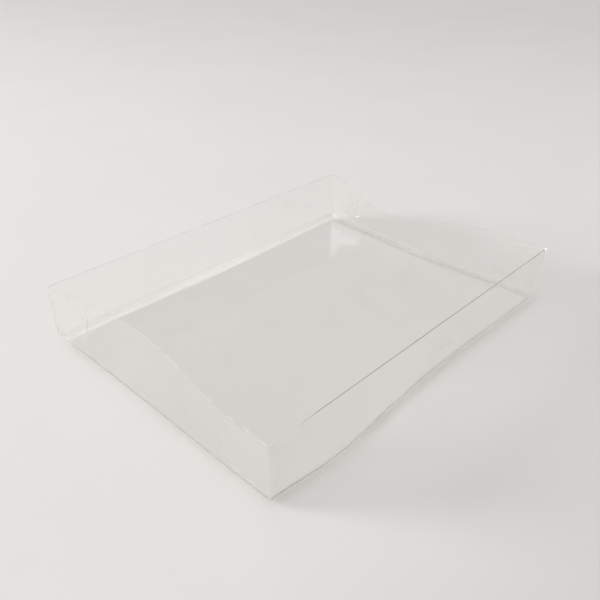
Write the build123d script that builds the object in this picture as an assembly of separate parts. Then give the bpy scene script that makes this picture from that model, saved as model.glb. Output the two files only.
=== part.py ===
# Open tray folded from one sheet of clear plastic film: a floor, two long walls and two end walls.
# Each long wall carries a tab at both ends, folded round the corner and glued inside the end wall.
# The film is limp, so the end walls lean in at the rim and the floor folds run a little out of line.
# Frame: origin under the middle of the floor, +X along the long walls to the right, +Z up.
from build123d import *
from math import cos, radians, sqrt, tan
import os

# Outside size of the folded tray, in millimetres
length = 230.0
width = 170.0
height = 35.0

# The sheet and its folds
film = 0.3                # thickness of the sheet
floor_bend = 5.0          # inside radius of the soft folds round the floor
tab_bend = 1.0            # inside radius of the fold that takes a tab round its corner
relief_share = 0.53       # die-cut relief where two floor folds meet: its radius as a share of their own

# Glue tabs at the ends of the long walls
tab_reach = 30.0          # from the tab's fold to its free edge
tab_clearance = 1.0       # from the floor fold, and from the rim, to the tab at its fold
tab_taper = 8.0           # slope of the tab's two cut edges, in degrees
tab_round = 3.0           # radius of the tab's free corners
fold_break = 18.0         # angle at which the round of a tab's fold runs into the flat film, in degrees

# How far the limp film stands out of line
left_rim_bow = 9.0        # left end wall, inwards at the rim
right_rim_bow = 15.0      # right end wall, inwards at the rim
right_fold_bow = 3.5      # right end wall, inwards at the floor
front_fold_bulge = 2.6    # front wall, outwards at the floor near the left end
front_fold_tuck = 1.8     # front wall, inwards at the floor past the middle
rear_fold_tuck = 2.0      # rear wall, inwards at the floor

# Where that happens, as shares of a side: end walls from the front, long walls from the left
bow_start = 0.22          # a rim only begins to bow here
bow_full_from = 0.47      # between these two it has its full bow
bow_full_to = 0.72
bow_begun = 0.14          # share of the full bow that it has at the start
fold_bow_peak = 0.45
bulge_peak = 0.13
wave_cross = 0.37         # the front fold crosses its straight line here
tuck_peak = 0.58

# Sizes that follow from the ones above
half_length = length / 2
half_width = width / 2
floor_round = floor_bend + film                          # outside radius of a floor fold
corner_relief = relief_share * floor_round
tab_low = floor_round + tab_clearance                    # tab's lower edge at its fold
tab_high = height - tab_clearance                        # tab's upper edge at its fold
tab_slope = tab_reach * tan(radians(tab_taper))

# Inward moves of each edge, as (share along the side, distance)
front_fold = [(bulge_peak, -front_fold_bulge), (wave_cross, 0), (tuck_peak, front_fold_tuck)]
rear_fold = [(tuck_peak, rear_fold_tuck)]
right_fold = [(fold_bow_peak, right_fold_bow)]
rim_shape = [(bow_start, bow_begun), (bow_full_from, 1), (bow_full_to, 1)]
left_rim = [(share, part * left_rim_bow) for share, part in rim_shape]
right_rim = [(share, part * right_rim_bow) for share, part in rim_shape]


def long_edge(side, moves, z, inset_x, inset_y):
    """Edge of a long wall in plan (side -1 front, 1 rear), drawn from left to right."""
    y = side * (half_width - inset_y)
    left = (inset_x - half_length, y, z)
    right = (half_length - inset_x, y, z)
    if not moves:
        return Line(left, right)
    between = [(share * length - half_length, y - side * inward, z) for share, inward in moves]
    return Spline(left, *between, right, tangents=((1, 0, 0), (1, 0, 0)))


def end_edge(side, moves, z, inset_x, inset_y):
    """Edge of an end wall in plan (side -1 left, 1 right), drawn from front to rear."""
    x = side * (half_length - inset_x)
    front = (x, inset_y - half_width, z)
    rear = (x, half_width - inset_y, z)
    if not moves:
        return Line(front, rear)
    between = [(x - side * inward, share * width - half_width, z) for share, inward in moves]
    return Spline(front, *between, rear, tangents=((0, 1, 0), (0, 1, 0)))


def walled(inset_x, inset_y):
    """Solid inside the faces of the four walls, each moved in by its inset, from the table to the rim."""
    at_floor = Wire([
        long_edge(-1, front_fold, 0, inset_x, inset_y),
        end_edge(1, right_fold, 0, inset_x, inset_y),
        long_edge(1, rear_fold, 0, inset_x, inset_y),
        end_edge(-1, [], 0, inset_x, inset_y),
    ])
    at_rim = Wire([
        long_edge(-1, [], height, inset_x, inset_y),
        end_edge(1, right_rim, height, inset_x, inset_y),
        long_edge(1, [], height, inset_x, inset_y),
        end_edge(-1, left_rim, height, inset_x, inset_y),
    ])
    return loft([Face(at_floor), Face(at_rim)], ruled=True)


def corner_rounds(x, y, radius, past_x):
    """Posts at the four corners, hollowed to the round of a tab's fold between its faces at x and y."""
    reach = radius * cos(radians(fold_break))
    square = Rectangle(reach + past_x, 2 * reach, align=(Align.MIN, Align.MIN))
    post = Pos(x - reach, y - reach, tab_low + film) * (square - Circle(radius))
    post = extrude(post, amount=tab_high - tab_low - 2 * film)
    pair = post + mirror(post, Plane.YZ)
    return pair + mirror(pair, Plane.XZ)


def outer_form():
    """Outside of the tray: a fold round the floor, and a groove between each tab's fold and the end wall."""
    form = walled(0, 0)
    form = fillet(form.edges().group_by(Axis.Z)[0], floor_round)
    return form - corner_rounds(half_length - film, half_width, tab_bend + film, 0)


def inner_form():
    """Space inside the tray, stepped in by one film where the four tabs lie on the end walls."""
    under_floor = Box(2 * length, 2 * width, film, align=(Align.CENTER, Align.CENTER, Align.MIN))
    form = walled(film, film) - under_floor
    form = fillet(form.edges().group_by(Axis.Z)[0], floor_bend)
    form -= tab_prism(-1) + tab_prism(1) - walled(2 * film, 0)
    return form - corner_rounds(half_length - 2 * film, half_width - film, tab_bend, 2 * film)


def tab_prism(side):
    """Outline of a tab (side -1 front, 1 rear), drawn through both end walls at once and past the long wall."""
    root = half_width - film
    tip = root - tab_reach
    past = root + tab_reach
    lower_edge = [(past, tab_low - tab_slope), (tip, tab_low + tab_slope)]
    upper_edge = [(tip, tab_high - tab_slope), (past, tab_high + tab_slope)]
    outline = make_face(Polyline(lower_edge + upper_edge, close=True))
    outline = fillet(outline.vertices().sort_by(Axis.X)[:2], tab_round)
    prism = extrude(Plane.YZ * outline, amount=length, both=True)
    return prism if side > 0 else mirror(prism, Plane.XZ)


def rim_waste(side, moves):
    """What is cut off above an end wall: leaning in lowers its rim, as the film does not stretch."""
    lowered = [(share * width - half_width, sqrt(height ** 2 - inward ** 2)) for share, inward in moves]
    front = (-half_width, height)
    rear = (half_width, height)
    rim = Spline(front, *lowered, rear, tangents=((1, 0), (1, 0)))
    return extrude(Plane.YZ * make_face(rim + Line(rear, front)), amount=side * length)


def corner_reliefs():
    """Die-cut reliefs at the four bottom corners, where two folds meet."""
    ball = Sphere(corner_relief)
    return [Pos(x, y) * ball for x in (-half_length, half_length) for y in (-half_width, half_width)]


tray = outer_form() - inner_form()
tray -= corner_reliefs()
tray -= [rim_waste(-1, left_rim), rim_waste(1, right_rim)]

os.makedirs("parts", exist_ok=True)
export_step(tray, "parts/folded_tray.step")
print("folded_tray", tray.bounding_box().size, round(tray.volume), "mm3")
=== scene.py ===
import bpy
import math
import numpy as np
from mathutils import Matrix, Vector


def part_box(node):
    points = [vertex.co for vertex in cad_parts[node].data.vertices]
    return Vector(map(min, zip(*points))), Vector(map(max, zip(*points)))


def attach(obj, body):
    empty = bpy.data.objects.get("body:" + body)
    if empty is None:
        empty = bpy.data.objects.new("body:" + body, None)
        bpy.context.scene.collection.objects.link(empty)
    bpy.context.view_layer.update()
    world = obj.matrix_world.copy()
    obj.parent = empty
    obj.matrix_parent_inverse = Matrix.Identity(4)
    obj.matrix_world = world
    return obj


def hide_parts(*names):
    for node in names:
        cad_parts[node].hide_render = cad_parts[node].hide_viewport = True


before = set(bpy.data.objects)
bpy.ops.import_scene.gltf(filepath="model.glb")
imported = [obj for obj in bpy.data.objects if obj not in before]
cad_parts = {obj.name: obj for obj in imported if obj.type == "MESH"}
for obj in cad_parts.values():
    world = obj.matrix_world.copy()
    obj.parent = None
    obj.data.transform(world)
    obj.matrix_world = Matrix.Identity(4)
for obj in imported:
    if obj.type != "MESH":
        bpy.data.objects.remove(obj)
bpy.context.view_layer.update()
scene = bpy.context.scene
scene.view_settings.view_transform = "Standard"
scene.cycles.max_bounces = 40  # light crosses many faces of film
scene.cycles.transmission_bounces = 40
scene.cycles.glossy_bounces = 16
scene.cycles.blur_glossy = 0

low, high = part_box("folded_tray")
print("frame loaded", [round(v * 1000, 2) for v in (*low, *high)])

# the tray's film, one sheet with its folds and tabs; a bow is a list of (share of the wall, way inwards)
film = {
    "length": 0.230, "thick": 0.0003, "fold": 0.00515, "relief": 0.00281, "tabFold": 0.00115, "slit": 0.00003,
    "tabReach": 0.030, "tabTaper": 8, "tabRound": 0.003, "tabLow": 0.0063, "tabHigh": 0.034,
    "leftRim": [(0.22, 0.14 * 0.009), (0.47, 0.009), (0.72, 0.009)],
    "rightRim": [(0.22, 0.14 * 0.015), (0.47, 0.015), (0.72, 0.015)],
    "rightFold": [(0.45, 0.0035)],
    "frontFold": [(0.13, -0.0026), (0.37, 0), (0.58, 0.0018)],
    "rearFold": [(0.58, 0.002)],
    "alongL": 120, "alongW": 90, "bendRows": 18, "wallRows": 14, "tabCols": 16, "tabBend": 8, "beadRows": 4,
    "tabEase": 1.6, "edgeGap": 0.00001, "boxGap": 0.000001, "sharpAngle": 40,
}
halfL, halfW, rimZ = film["length"] / 2, high.y, high.z
half = film["thick"] / 2
filmSlots = ["clearFilm", "frontEdge", "gluedTab", "tabEdge", "rimEdge"]
slotOf = {name: i for i, name in enumerate(filmSlots)}


def smoothCurve(points):  # slope is zero at both ends
    xs = np.array([0] + [p[0] for p in points] + [1], float)
    ys = np.array([0] + [p[1] for p in points] + [0], float)
    n, h, d = len(xs), np.diff(xs), np.diff(ys)
    rows, right = np.eye(n), np.zeros(n)
    for i in range(1, n - 1):
        rows[i, i - 1:i + 2] = 1 / h[i - 1], 2 / h[i - 1] + 2 / h[i], 1 / h[i]
        right[i] = 3 * (d[i - 1] / h[i - 1] ** 2 + d[i] / h[i] ** 2)
    slope = np.linalg.solve(rows, right)

    def at(s):
        s = min(max(s, 0), 1)
        i = min(int(np.searchsorted(xs, s, "right")) - 1, n - 2)
        t = (s - xs[i]) / h[i]
        start = ys[i] * (1 + 2 * t) + slope[i] * h[i] * t
        end = ys[i + 1] * (3 - 2 * t) - slope[i + 1] * h[i] * (1 - t)
        return start * (1 - t) ** 2 + end * t * t
    return at


flat = smoothCurve([])
curves = {k: smoothCurve(film[k]) for k in ("leftRim", "rightRim", "rightFold", "frontFold", "rearFold")}
walls = {"front": (curves["frontFold"], flat), "rear": (curves["rearFold"], flat),
         "left": (flat, curves["leftRim"]), "right": (curves["rightFold"], curves["rightRim"])}


def inward(name, s, z):
    atFold, atRim = walls[name]
    k = z / rimZ
    return half + atFold(s) * (1 - k) + atRim(s) * k


def dip(name, s, z):
    lean = walls[name][1](s)
    return (rimZ - math.sqrt(rimZ ** 2 - lean ** 2)) * (z / rimZ) ** 2


def onLong(side, x, z, a):
    name = "front" if side < 0 else "rear"
    return Vector((x, side * (halfW - a - inward(name, (x + halfL) / (2 * halfL), z)), z))


def onEnd(side, y, z, a):
    name = "left" if side < 0 else "right"
    s = (y + halfW) / (2 * halfW)
    return Vector((side * (halfL - a - inward(name, s, z)), y, z - dip(name, s, z)))


def profile():  # height and distance from the wall's own face, from the floor up
    r, low, high, n = film["fold"], film["tabLow"], film["tabHigh"], film["wallRows"]
    turn = [math.pi / 2 * i / film["bendRows"] for i in range(film["bendRows"] + 1)]
    rows = [(half + r * (1 - math.cos(t)), r * (1 - math.sin(t))) for t in turn]
    rows += [(low + (high - low) * i / n, 0) for i in range(n + 1)]
    return rows + [(rimZ - half - film["edgeGap"], 0)]


def relief(z, a):  # half width of the die-cut opening where two folds meet
    gap = film["relief"] ** 2 - (2 * a * a + z * z)
    return math.sqrt(gap) if gap > 0 else 0


# weight across a fold: it sets the fold's stiffness, roughness, painted shade and painted glow
def foldWearAndShadeAt(row):  # strongest in the middle of the fold
    bend = film["bendRows"]
    return math.sin(math.pi * row / bend) ** 2 if row < bend else 0


class Sheet:
    def __init__(self):
        self.verts, self.faces, self.kinds, self.crease, self.rims = [], [], [], [], {}

    def add(self, p, crease=0):
        self.verts.append(p)
        self.crease.append(crease)
        return len(self.verts) - 1

    def skin(self, grid, flip, kind):
        for a, b in zip(grid, grid[1:]):
            for i in range(len(a) - 1):
                q = (a[i], a[i + 1], b[i + 1], b[i])
                self.faces.append(q[::-1] if flip else q)
                self.kinds.append(kind)


def foldSheet():
    sheet, rows = Sheet(), profile()
    nL, nW, bend = film["alongL"], film["alongW"], film["bendRows"]
    z0, a0 = rows[0]
    floor = []
    for j in range(nW + 1):
        v = j / nW
        y0 = (halfW - half - a0) * (2 * v - 1)
        xLeft, xRight = onEnd(-1, y0, 0, a0).x, onEnd(1, y0, 0, a0).x
        line = []
        for i in range(nL + 1):
            x = xLeft + (xRight - xLeft) * i / nL
            yFront, yRear = onLong(-1, x, 0, a0).y, onLong(1, x, 0, a0).y
            line.append(sheet.add(Vector((x, yFront + (yRear - yFront) * v, z0))))
        floor.append(line)
    sheet.skin(floor, False, "clearFilm")
    mitre = {}
    butt = film["thick"] + film["slit"]  # a long wall stops at the end wall's inside
    inTab = range(bend + 1, bend + film["wallRows"] + 2)
    for side in (-1, 1):
        grid = [floor[0] if side < 0 else floor[-1]]
        for k, (z, a) in enumerate(rows[1:], 1):
            isOpen = relief(z, a) > 0 or a < film["relief"] / 4  # the corner is slit above its relief
            past = film["tabFold"] - film["slit"] if k in inTab else half
            end = halfL - half - max(a + relief(z, a), butt + past)
            foldWearAndShade = foldWearAndShadeAt(k)
            line = [sheet.add(onLong(side, end * (2 * i / nL - 1), z, a), foldWearAndShade) for i in range(nL + 1)]
            if not isOpen:
                mitre[k, -1, side], mitre[k, 1, side] = line[0], line[-1]
            grid.append(line)
        sheet.skin(grid, side < 0, "clearFilm")
        sheet.rims.update((index, "frontEdge" if side < 0 else "rimEdge") for index in grid[-1])
        for hand in (-1, 1):
            root = [(grid[k][0 if hand < 0 else nL], rows[k][0]) for k in inTab]
            addTab(sheet, side, hand, root)
    for side in (-1, 1):
        grid = [[line[0 if side < 0 else -1] for line in floor]]
        for k, (z, a) in enumerate(rows[1:], 1):
            end = halfW - half - film["edgeGap"] - a - relief(z, a)
            foldWearAndShade = foldWearAndShadeAt(k)
            line = [sheet.add(onEnd(side, end * (2 * j / nW - 1), z, a), foldWearAndShade) for j in range(1, nW)]
            first = mitre.get((k, side, -1)) or sheet.add(onEnd(side, -end, z, a), foldWearAndShade)
            last = mitre.get((k, side, 1)) or sheet.add(onEnd(side, end, z, a), foldWearAndShade)
            grid.append([first] + line + [last])
        sheet.skin(grid, side > 0, "clearFilm")
        sheet.rims.update((index, "rimEdge") for index in grid[-1])
    return sheet


def addTab(sheet, side, hand, root):
    lowZ, highZ = film["tabLow"], film["tabHigh"]
    r, inset = film["tabFold"], film["thick"] + film["slit"]
    grid = [[index for index, z in root]]
    for i in range(1, film["tabBend"] + 1):
        t = math.pi / 2 * i / film["tabBend"]
        y = side * (halfW - half - r * (1 - math.cos(t)))
        line = []
        for index, z in root:
            x = onEnd(hand, y, z, inset).x - hand * r * (1 - math.sin(t))
            line.append(sheet.add(Vector((x, y, z))))
        grid.append(line)
    slope = math.tan(math.radians(film["tabTaper"]))
    run = film["tabReach"] - r
    for i in range(1, film["tabCols"] + 1):
        reach = run * (1 - (1 - i / film["tabCols"]) ** film["tabEase"])
        cut, left = reach * slope, run - reach
        if left < film["tabRound"]:
            cut += film["tabRound"] - math.sqrt(film["tabRound"] ** 2 - (film["tabRound"] - left) ** 2)
        y = side * (halfW - half - r - reach)
        line = []
        for index, z in root:
            k = (z - lowZ) / (highZ - lowZ)
            line.append(sheet.add(onEnd(hand, y, lowZ + cut + k * (highZ - lowZ - 2 * cut), inset)))
        grid.append(line)
    sheet.skin(grid, side * hand > 0, "gluedTab")


def thicken(sheet):  # both faces of the film and its rounded cut edges
    v, q = np.array([tuple(p) for p in sheet.verts]), np.array(sheet.faces)
    faceNormal = np.cross(v[q[:, 2]] - v[q[:, 0]], v[q[:, 3]] - v[q[:, 1]])
    normal = np.zeros_like(v)
    for k in range(4):
        np.add.at(normal, q[:, k], faceNormal)
    normal /= np.linalg.norm(normal, axis=1)[:, None]
    count = len(v)
    points = [v + normal * half, v - normal * half]
    faces = [tuple(f) for f in q] + [tuple(f[::-1] + count) for f in q]
    slots = sheet.kinds + sheet.kinds
    directed = {}
    for f, face in enumerate(sheet.faces):
        for a, b in zip(face, face[1:] + face[:1]):
            directed[a, b] = f
    cut = [(a, b, f) for (a, b), f in directed.items() if (b, a) not in directed]
    out = np.zeros_like(v)
    for a, b, f in cut:
        side = np.cross(v[b] - v[a], faceNormal[f])
        side /= np.linalg.norm(side)
        out[a] += side
        out[b] += side
    onCut = sorted({a for a, b, f in cut} | {b for a, b, f in cut})
    place = {index: i for i, index in enumerate(onCut)}
    o = out[onCut] / np.maximum(np.linalg.norm(out[onCut], axis=1), 1e-9)[:, None]
    n = film["beadRows"]
    rings = [np.array(onCut)]
    for i in range(1, n):
        t = math.pi * i / n
        rings.append(2 * count + (i - 1) * len(onCut) + np.arange(len(onCut)))
        points.append(v[onCut] + half * (normal[onCut] * math.cos(t) + o * math.sin(t)))
    rings.append(np.array(onCut) + count)
    sharp = set()
    for a, b, f in cut:
        slot = sheet.rims[a] if a in sheet.rims and b in sheet.rims else "tabEdge"
        for lower, upper in zip(rings, rings[1:]):
            faces.append((lower[place[b]], lower[place[a]], upper[place[a]], upper[place[b]]))
            slots.append(slot)
        sharp.update((tuple(sorted((a, b))), tuple(sorted((a + count, b + count)))))
    mesh = bpy.data.meshes.new("film")
    gap = film["boxGap"]
    points = np.clip(np.concatenate(points), np.array(low) + gap, np.array(high) - gap)
    mesh.from_pydata(points.tolist(), [], [tuple(int(i) for i in f) for f in faces])
    mesh.update()
    crease = np.array(sheet.crease)
    foldWearAndShade = np.concatenate([crease, crease] + [crease[onCut]] * (n - 1))
    mesh.attributes.new("crease", "FLOAT", "POINT").data.foreach_set("value", foldWearAndShade)
    mesh.polygons.foreach_set("material_index", [slotOf[name] for name in slots])
    mesh.polygons.foreach_set("use_smooth", [True] * len(faces))
    mesh.set_sharp_from_angle(angle=math.radians(film["sharpAngle"]))
    for edge in mesh.edges:
        if tuple(sorted(edge.vertices)) in sharp:
            edge.use_edge_sharp = True
    return mesh


filmMesh = thicken(foldSheet())
print("film shaped", len(filmMesh.polygons))


def newMaterial(name):
    mat = bpy.data.materials.new(name)
    mat.use_nodes = True
    nodes, links = mat.node_tree.nodes, mat.node_tree.links
    return mat, nodes, links, nodes["Principled BSDF"]


def newGroup(name, inputs, outputs):
    group = bpy.data.node_groups.new(name, "ShaderNodeTree")
    for label, value in inputs.items():
        socket = group.interface.new_socket(label, in_out="INPUT", socket_type="NodeSocketFloat")
        socket.default_value = value
    for label, kind in outputs.items():
        group.interface.new_socket(label, in_out="OUTPUT", socket_type="NodeSocket" + kind)
    given = group.nodes.new("NodeGroupInput").outputs
    out = group.nodes.new("NodeGroupOutput").inputs
    return group, group.nodes, group.links, given, out


def plug(links, value, socket):  # a number is set on the socket, an output is linked to it
    if isinstance(value, bpy.types.NodeSocket):
        links.new(value, socket)
    else:
        socket.default_value = value


def calc(nodes, links, operation, a, b):
    node = nodes.new("ShaderNodeMath")
    node.operation = operation
    plug(links, a, node.inputs[0])
    plug(links, b, node.inputs[1])
    return node.outputs[0]


def ranged(nodes, links, value, fromSpan, toSpan=(0, 1), smooth=False):
    node = nodes.new("ShaderNodeMapRange")
    node.interpolation_type = "SMOOTHSTEP" if smooth else "LINEAR"
    plug(links, value, node.inputs["Value"])
    for label, number in zip(("From Min", "From Max", "To Min", "To Max"), (*fromSpan, *toSpan)):
        plug(links, number, node.inputs[label])
    return node.outputs["Result"]


def noiseOn(nodes, links, where, scale, detail, stretch=(1, 1, 1), turn=0):
    spot = nodes.new("ShaderNodeMapping")
    spot.inputs["Scale"].default_value = stretch
    spot.inputs["Rotation"].default_value = (0, 0, math.radians(turn))
    links.new(where, spot.inputs["Vector"])
    tex = nodes.new("ShaderNodeTexNoise")
    tex.inputs["Scale"].default_value = scale
    tex.inputs["Detail"].default_value = detail
    links.new(spot.outputs["Vector"], tex.inputs["Vector"])
    return tex.outputs["Fac"]


def blended(nodes, links, factor, a, b):
    node = nodes.new("ShaderNodeMix")
    node.data_type = "RGBA"
    for label, value in (("Factor", factor), ("A", a), ("B", b)):
        plug(links, value, node.inputs[label])
    return node.outputs["Result"]


# what the film looks like; a "shown" span is the part of a noise that shows
filmLook = {
    "ior": 1.55, "smooth": 0.02, "waveHeight": 0.0004, "waveStrength": 0.6,
    # the folds' darker tint is painted shade
    "clear": (0.996, 0.994, 0.991, 1), "scuffed": (0.965, 0.96, 0.953, 1), "paintedFoldShade": (0.9, 0.89, 0.877, 1),
    "slowWave": 26, "quickWave": 85, "quickShare": 0.12,
    "scratches": [
        {"size": 60, "stretch": (1, 14, 1), "turn": 24, "shown": (0.63, 0.7)},
        {"size": 55, "stretch": (12, 1, 1), "turn": -15, "shown": (0.64, 0.71)},
    ],
    "scratchShare": 0.6,
    "fingerMarks": 38, "marksShown": (0.56, 0.74), "markGrain": 420, "grainShown": (0.4, 0.62),
    "scuffRough": 0.1, "foldRough": 0.5, "foldPatches": 60, "foldSpan": (0.8, 1.2), "glueGrain": 210,
    "litFold": 0.055, "litFrom": (0.076, 0.079), "litUpTo": (0.0845, 0.0815),  # painted glow on the rear fold, standing in for the window light it catches
    "panels": {"clearFilm": {"Waves": 1, "Haze": 0}, "gluedTab": {"Waves": 0.6, "Haze": 0.05}},
}


def handledFilm(look):  # waves, scuffs and finger marks of limp film, with rough score lines at its folds; the folds also carry painted shade, and the rear fold a painted glow
    outputs = {"Color": "Color", "Roughness": "Float", "Height": "Float", "Glow": "Color"}
    group, nodes, links, given, out = newGroup("handledFilm", {"Waves": 1, "Haze": 0}, outputs)
    where = nodes.new("ShaderNodeTexCoord").outputs["Object"]
    crease = nodes.new("ShaderNodeAttribute")
    crease.attribute_name = "crease"
    crease = crease.outputs["Fac"]

    def op(operation, a, b):
        return calc(nodes, links, operation, a, b)

    def noise(*shape):
        return noiseOn(nodes, links, where, *shape)

    def shown(value, span, result=(0, 1)):
        return ranged(nodes, links, value, span, result)

    quick = op("MULTIPLY", op("SUBTRACT", noise(look["quickWave"], 2), 0.5), look["quickShare"])
    waves = op("ADD", op("SUBTRACT", noise(look["slowWave"], 1), 0.5), quick)
    waves = op("MULTIPLY", waves, op("SUBTRACT", 1, crease))  # a fold holds the film straight
    links.new(op("MULTIPLY", waves, given["Waves"]), out["Height"])

    across, along = (
        shown(noise(lines["size"], 4, lines["stretch"], lines["turn"]), lines["shown"]) for lines in look["scratches"])
    marks = shown(noise(look["fingerMarks"], 3), look["marksShown"])
    marks = op("MULTIPLY", marks, shown(noise(look["markGrain"], 4), look["grainShown"]))
    scuffs = op("ADD", op("MULTIPLY", op("ADD", across, along), look["scratchShare"]), marks)
    fold = op("MULTIPLY", crease, shown(noise(look["foldPatches"], 2), (0, 1), look["foldSpan"]))

    rough = op("ADD", op("MULTIPLY", scuffs, look["scuffRough"]), op("MULTIPLY", fold, look["foldRough"]))
    haze = op("MULTIPLY", given["Haze"], noise(look["glueGrain"], 3))
    links.new(op("ADD", rough, op("ADD", haze, look["smooth"])), out["Roughness"])

    tint = blended(nodes, links, scuffs, look["clear"], look["scuffed"])
    links.new(blended(nodes, links, fold, tint, look["paintedFoldShade"]), out["Color"])  # painted shade darkens the folds

    # painted glow along the rear fold
    spot = nodes.new("ShaderNodeSeparateXYZ")
    links.new(where, spot.inputs["Vector"])
    lit = shown(spot.outputs["Y"], look["litFrom"], (0, look["litFold"]))
    lit = op("MULTIPLY", lit, shown(spot.outputs["Y"], look["litUpTo"]))
    links.new(op("MULTIPLY", crease, lit), out["Glow"])
    return group


def letLampsThrough(mat, ior):  # lamp rays cross the film and lose what it reflects
    nodes, links = mat.node_tree.nodes, mat.node_tree.links
    fresnel = nodes.new("ShaderNodeFresnel")
    fresnel.inputs["IOR"].default_value = ior
    lost = nodes.new("ShaderNodeInvert")
    links.new(fresnel.outputs["Fac"], lost.inputs["Color"])
    clear = nodes.new("ShaderNodeBsdfTransparent")
    links.new(lost.outputs["Color"], clear.inputs["Color"])
    path = nodes.new("ShaderNodeLightPath")
    mix = nodes.new("ShaderNodeMixShader")
    links.new(path.outputs["Is Shadow Ray"], mix.inputs[0])
    links.new(nodes["Principled BSDF"].outputs[0], mix.inputs[1])
    links.new(clear.outputs[0], mix.inputs[2])
    links.new(mix.outputs[0], nodes["Material Output"].inputs["Surface"])


handled = handledFilm(filmLook)


def panelMaterial(name):
    mat, nodes, links, shader = newMaterial(name)
    shader.inputs["IOR"].default_value = filmLook["ior"]
    shader.inputs["Transmission Weight"].default_value = 1.0
    look = nodes.new("ShaderNodeGroup")
    look.node_tree = handled
    for label, value in filmLook["panels"][name].items():
        look.inputs[label].default_value = value
    links.new(look.outputs["Color"], shader.inputs["Base Color"])
    links.new(look.outputs["Roughness"], shader.inputs["Roughness"])
    # the rear fold's painted glow
    links.new(look.outputs["Glow"], shader.inputs["Emission Color"])
    shader.inputs["Emission Strength"].default_value = 1
    bump = nodes.new("ShaderNodeBump")
    bump.inputs["Distance"].default_value = filmLook["waveHeight"]
    bump.inputs["Strength"].default_value = filmLook["waveStrength"]
    links.new(look.outputs["Height"], bump.inputs["Height"])
    links.new(bump.outputs["Normal"], shader.inputs["Normal"])
    letLampsThrough(mat, filmLook["ior"])
    return mat


# what the cut edges look like: tones, a painted glow for the light that the film carries to them, and painted glints
# at two corners
edgeLook = {
    "grain": 130, "grainShown": (0.35, 0.65), "rough": 0.55, "tone": {"Red": 1, "Green": 0.985, "Blue": 0.965},
    "glint": 5, "glintFall": 3, "glints": [((0.1125, 0.0565, 0.0105), 0.003), ((halfL, -halfW, rimZ), 0.0016)],
    # the edges' levels differ as painted shade: the front edge, turned from the window, is darkest; the grain between
    # Dark and Pale is the edge's own broken tone
    "edges": {"frontEdge": {"Dark": 0.14, "Pale": 0.3, "PaintedGlow": 0},
              "tabEdge": {"Dark": 0.27, "Pale": 0.36, "PaintedGlow": 1.2},
              "rimEdge": {"Dark": 0.26, "Pale": 0.4, "PaintedGlow": 0.9}},
    "frontFade": (0.012, 0.034), "frontFaded": 0.8,  # the front edge's painted shade pales towards its left end
}


def cutGrain(look):  # broken tone of a die-cut edge, with a painted glow and a painted glint at two of its corners
    group, nodes, links, given, out = newGroup(
        "cutGrain", {"Dark": 0.3, "Pale": 0.6, "PaintedGlow": 0}, {"Color": "Color", "Glow": "Color"})
    where = nodes.new("ShaderNodeTexCoord").outputs["Object"]
    grain = noiseOn(nodes, links, where, look["grain"], 4)
    level = ranged(nodes, links, grain, look["grainShown"], (given["Dark"], given["Pale"]))
    tone = nodes.new("ShaderNodeCombineColor")
    for channel, share in look["tone"].items():
        links.new(calc(nodes, links, "MULTIPLY", level, share), tone.inputs[channel])
    links.new(tone.outputs["Color"], out["Color"])
    glow = given["PaintedGlow"]
    for corner, reach in look["glints"]:
        away = nodes.new("ShaderNodeVectorMath")
        away.operation = "DISTANCE"
        away.inputs[1].default_value = corner
        links.new(where, away.inputs[0])
        span = (reach, reach / look["glintFall"])
        glint = ranged(nodes, links, away.outputs["Value"], span, (0, look["glint"]))
        glow = calc(nodes, links, "ADD", glow, glint)
    lit = nodes.new("ShaderNodeVectorMath")
    lit.operation = "SCALE"
    links.new(tone.outputs["Color"], lit.inputs[0])
    links.new(glow, lit.inputs["Scale"])
    links.new(lit.outputs["Vector"], out["Glow"])
    return group


grained = cutGrain(edgeLook)


def edgeMaterial(name):
    mat, nodes, links, shader = newMaterial(name)
    shader.inputs["Roughness"].default_value = edgeLook["rough"]
    shader.inputs["Emission Strength"].default_value = 1
    look = nodes.new("ShaderNodeGroup")
    look.node_tree = grained
    values = edgeLook["edges"][name]
    for label, value in values.items():
        look.inputs[label].default_value = value
    if name == "frontEdge":
        spot = nodes.new("ShaderNodeSeparateXYZ")
        links.new(nodes.new("ShaderNodeTexCoord").outputs["Object"], spot.inputs["Vector"])
        start, stop = (along - halfL for along in edgeLook["frontFade"])
        for label in ("Dark", "Pale"):
            span = (edgeLook["frontFaded"], values[label])
            links.new(ranged(nodes, links, spot.outputs["X"], (start, stop), span, True), look.inputs[label])
    links.new(look.outputs["Color"], shader.inputs["Base Color"])
    # painted glow and glints go out as emission
    links.new(look.outputs["Glow"], shader.inputs["Emission Color"])
    return mat


for name in filmSlots:
    filmMesh.materials.append(panelMaterial(name) if name in filmLook["panels"] else edgeMaterial(name))
filmObj = bpy.data.objects.new("film", filmMesh)
scene.collection.objects.link(filmObj)
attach(filmObj, "root")
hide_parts("folded_tray")
print("film dressed", [mat.name for mat in filmMesh.materials])

# a pale sheet under the tray, with painted shade darkening it towards its far end and its front
table = {
    "size": 12, "drop": 0.0002, "mottle": 9, "mottleShown": (0.3, 0.7), "rough": 0.5, "sheen": 0.2,
    "dark": (0.772, 0.757, 0.742, 1), "pale": (0.79, 0.775, 0.76, 1),
    "farWay": (0.726, 0.687, 0), "far": (0.1, 1.2), "farShade": 0.9,
    "front": (-0.26, -0.08), "frontShade": 0.86,
}
bpy.ops.mesh.primitive_plane_add(size=table["size"], location=(0, 0, -table["drop"]))
tableObj = bpy.context.object
tableObj.name = "table"
mat, nodes, links, shader = newMaterial("tableTop")
where = nodes.new("ShaderNodeTexCoord").outputs["Object"]
mottle = ranged(nodes, links, noiseOn(nodes, links, where, table["mottle"], 5), table["mottleShown"])
away = nodes.new("ShaderNodeVectorMath")
away.operation = "DOT_PRODUCT"
away.inputs[1].default_value = table["farWay"]
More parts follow.
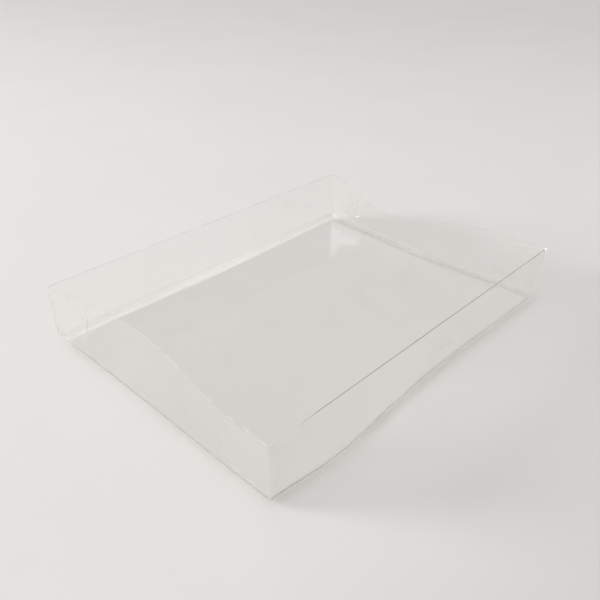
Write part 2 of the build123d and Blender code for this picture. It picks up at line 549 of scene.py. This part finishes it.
links.new(where, away.inputs[0])
spot = nodes.new("ShaderNodeSeparateXYZ")
links.new(where, spot.inputs["Vector"])
farShade = ranged(nodes, links, away.outputs["Value"], table["far"], (1, table["farShade"]), True)
frontShade = ranged(nodes, links, spot.outputs["Y"], table["front"], (table["frontShade"], 1), True)
# painted shade: the table darkens towards its far end and its front
tone = calc(nodes, links, "MULTIPLY", farShade, frontShade)
color = blended(nodes, links, mottle, table["dark"], table["pale"])
links.new(blended(nodes, links, tone, (0, 0, 0, 1), color), shader.inputs["Base Color"])
shader.inputs["Roughness"].default_value = table["rough"]
shader.inputs["Specular IOR Level"].default_value = table["sheen"]
tableObj.data.materials.append(mat)

# a low window, and its weaker image in the film
windows = {
    "away": 2.4, "spread": 125,
    "panes": [
        {"azimuth": 133, "elevation": 15.5, "across": 0.9, "watts": 18, "seenBy": ("diffuse",)},
        {"azimuth": 136, "elevation": 21, "across": 1.35, "watts": 4.4, "seenBy": ("glossy", "transmission")},
    ],
}


def towards(azimuth, elevation):
    az, el = math.radians(azimuth), math.radians(elevation)
    return Vector((math.cos(az) * math.cos(el), math.sin(az) * math.cos(el), math.sin(el)))


for pane in windows["panes"]:
    data = bpy.data.lights.new("window", "AREA")
    data.shape = "DISK"
    data.size = pane["across"]
    data.energy = pane["watts"]
    data.spread = math.radians(windows["spread"])
    obj = bpy.data.objects.new("window", data)
    for ray in ("diffuse", "glossy", "transmission"):
        setattr(obj, "visible_" + ray, ray in pane["seenBy"])
    scene.collection.objects.link(obj)
    place = towards(pane["azimuth"], pane["elevation"])
    obj.location = place * windows["away"]
    obj.rotation_euler = (-place).to_track_quat("-Z", "Y").to_euler()

# the room, lighter on the window's side
room = {"tone": (1.0, 0.99, 0.975, 1), "level": 0.635, "glow": 0.35, "azimuth": 120, "elevation": 30, "reach": 100}
world = bpy.data.worlds.new("room")
scene.world = world
world.use_nodes = True
nodes, links = world.node_tree.nodes, world.node_tree.links
sky = nodes["Background"]
sky.inputs["Color"].default_value = room["tone"]
facing = nodes.new("ShaderNodeVectorMath")
facing.operation = "DOT_PRODUCT"
facing.inputs[1].default_value = towards(room["azimuth"], room["elevation"])
links.new(nodes.new("ShaderNodeTexCoord").outputs["Generated"], facing.inputs[0])
edge = math.cos(math.radians(room["reach"]))
glow = ranged(nodes, links, facing.outputs["Value"], (edge, 1), (0, room["glow"]), True)
links.new(calc(nodes, links, "ADD", glow, room["level"]), sky.inputs["Strength"])
print("table, windows and room set")

# the photograph's viewing angle
view = {
    "lens": 39.95, "sensor": 36, "nearest": 0.01,
    "place": (-0.24289, -0.22160, 0.21868), "yaw": 43.426, "pitch": 32.092, "roll": 0.643,
}
camData = bpy.data.cameras.new("photoCamera")
camData.lens = view["lens"]
camData.sensor_width = view["sensor"]
camData.clip_start = view["nearest"]
cam = bpy.data.objects.new("photoCamera", camData)
scene.collection.objects.link(cam)
yaw, pitch, roll = (math.radians(view[turn]) for turn in ("yaw", "pitch", "roll"))
ahead = Vector((math.cos(pitch) * math.cos(yaw), math.cos(pitch) * math.sin(yaw), -math.sin(pitch)))
right = Vector((math.sin(yaw), -math.cos(yaw), 0))
up = right.cross(ahead)
right, up = right * math.cos(roll) + up * math.sin(roll), up * math.cos(roll) - right * math.sin(roll)
cam.matrix_world = Matrix((right, up, -ahead)).transposed().to_4x4()
cam.location = view["place"]
scene.camera = cam
print("camera set")
